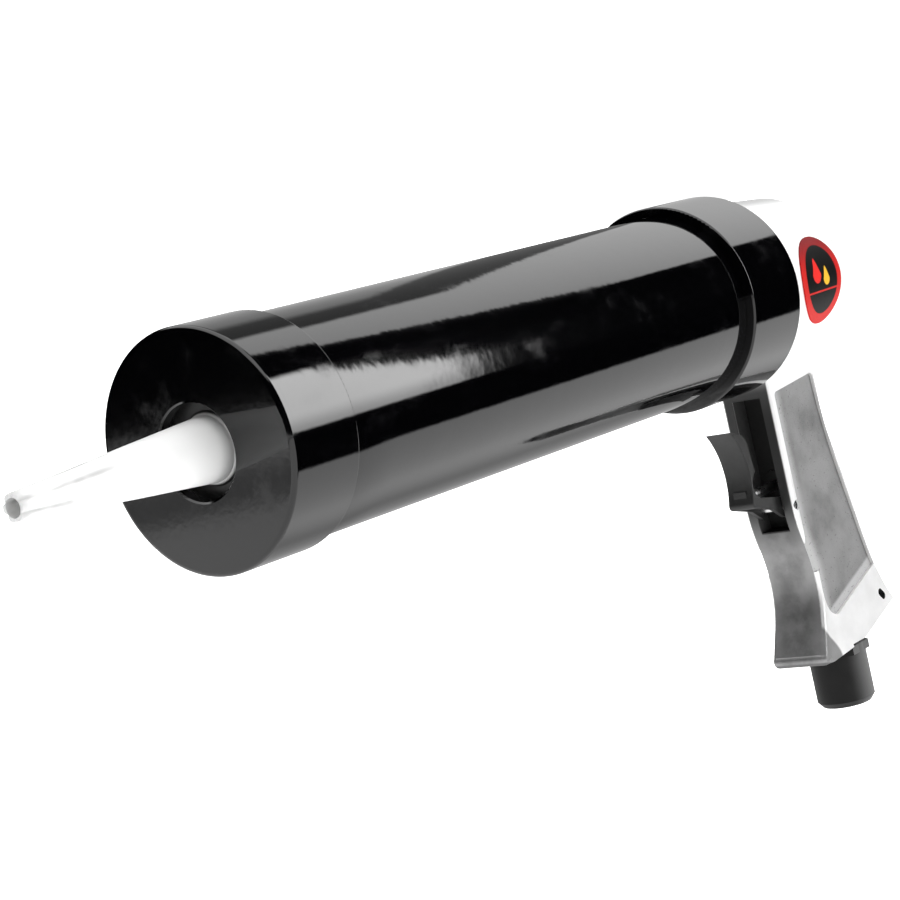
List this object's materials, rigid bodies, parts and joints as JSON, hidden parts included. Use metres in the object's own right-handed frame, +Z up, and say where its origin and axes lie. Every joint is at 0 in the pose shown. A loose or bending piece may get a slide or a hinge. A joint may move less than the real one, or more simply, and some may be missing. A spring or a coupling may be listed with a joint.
{
  "type": "caulking gun",
  "caption": "Air-powered caulking gun with a closed black barrel for one sealant cartridge, screw-on front cap and a cast pistol handle with trigger and air inlet.",
  "frame": {"origin": "centre of the air inlet's mouth, under the pistol handle", "axes": "+Z up along the inlet and the handle, X along the barrel with the nozzle towards -X and the regulator knob towards +X"},
  "size_m": [0.3438, 0.0594, 0.1607],
  "materials": {
    "black_lacquer": "deep gloss black lacquer on turned alloy",
    "cast_alloy": "die-cast alloy, tumbled satin with polished rims",
    "turned_alloy": "turned and lightly polished",
    "black_trigger": "satin black coated",
    "black_fitting": "black oxide, satin",
    "nozzle_plastic": "translucent white polyethylene",
    "cartridge_wall": "plain white tube wall",
    "rubber": "moulded nitrile",
    "brass": "turned",
    "steel": "ground",
    "spring_steel": "drawn wire",
    "label_print": null
  },
  "bodies": {
    "gun_body": {"barrel": "black_lacquer", "barrel_seal": "rubber", "rear_collar": "black_lacquer", "cartridge_tube": "cartridge_wall", "cartridge_nozzle": "nozzle_plastic", "handle_casting": "cast_alloy", "side_label": "label_print", "trigger_pin": "steel", "valve_bush": "black_fitting", "stem_ring": "rubber", "bush_ring": "rubber", "valve_spring": "spring_steel", "inlet_bushing": "black_fitting", "inlet_seal": "rubber", "inlet_screen": "steel", "poppet_plug": "brass", "plug_ring": "rubber", "poppet_spring": "spring_steel", "regulator_spring": "spring_steel", "regulator_bonnet": "turned_alloy", "bonnet_seal": "rubber"},
    "cap_carrier": {"cap_gasket": "rubber"},
    "cap": {"front_cap": "black_lacquer"},
    "plunger": {"cartridge_plunger": "nozzle_plastic"},
    "trigger": {"trigger": "black_trigger"},
    "valve": {"valve_stem": "steel", "valve_seal": "rubber"},
    "regulator_button": {"spring_button": "steel"},
    "regulator_knob": {"regulator_screw": "steel", "regulator_knob": "turned_alloy", "knob_screw": "steel"},
    "regulator_piston": {"regulator_piston": "turned_alloy", "piston_ring": "rubber", "poppet": "brass", "poppet_seal": "rubber"}
  },
  "joints": [
    {"name": "cap_advance", "type": "slide", "parent": "gun_body", "child": "cap_carrier", "axis": [-1, 0, 0], "range_m": [0, 0.0075]},
    {"name": "cap_turn", "type": "hinge", "parent": "cap_carrier", "child": "cap", "pos_m": [-0.25, 0, 0.131], "axis": [-1, 0, 0], "range_deg": [0, 1800]},
    {"name": "plunger_slide", "type": "slide", "parent": "gun_body", "child": "plunger", "axis": [-1, 0, 0], "range_m": [0, 0.18]},
    {"name": "trigger_pull", "type": "hinge", "parent": "gun_body", "child": "trigger", "pos_m": [-0.0187, 0, 0.0656], "axis": [0, 1, 0], "range_deg": [0, 14], "stiffness_Nm_per_rad": 0.25, "springref_deg": -20.05},
    {"name": "valve_push", "type": "slide", "parent": "gun_body", "child": "valve", "axis": [1, 0, 0], "range_m": [0, 0.00118], "deforming": ["valve_spring"]},
    {"name": "regulator_advance", "type": "slide", "parent": "gun_body", "child": "regulator_button", "axis": [-1, 0, 0], "range_m": [0, 0.0022], "deforming": ["regulator_spring"]},
    {"name": "regulator_turn", "type": "hinge", "parent": "regulator_button", "child": "regulator_knob", "pos_m": [0.0318, 0, 0.131], "axis": [-1, 0, 0], "range_deg": [0, 720]},
    {"name": "piston_push", "type": "slide", "parent": "gun_body", "child": "regulator_piston", "axis": [-1, 0, 0], "range_m": [0, 0.0006], "deforming": ["poppet_spring"]}
  ],
  "couplings": [
    {"joint": "cap_advance", "follows": "cap_turn", "m_per_rad": 0.0002387},
    {"joint": "valve_push", "follows": "trigger_pull", "m_per_rad": 0.0048},
    {"joint": "regulator_advance", "follows": "regulator_turn", "m_per_rad": 0.000159},
    {"joint": "piston_push", "follows": "regulator_turn", "m_per_rad": 0.0000434}
  ]
}
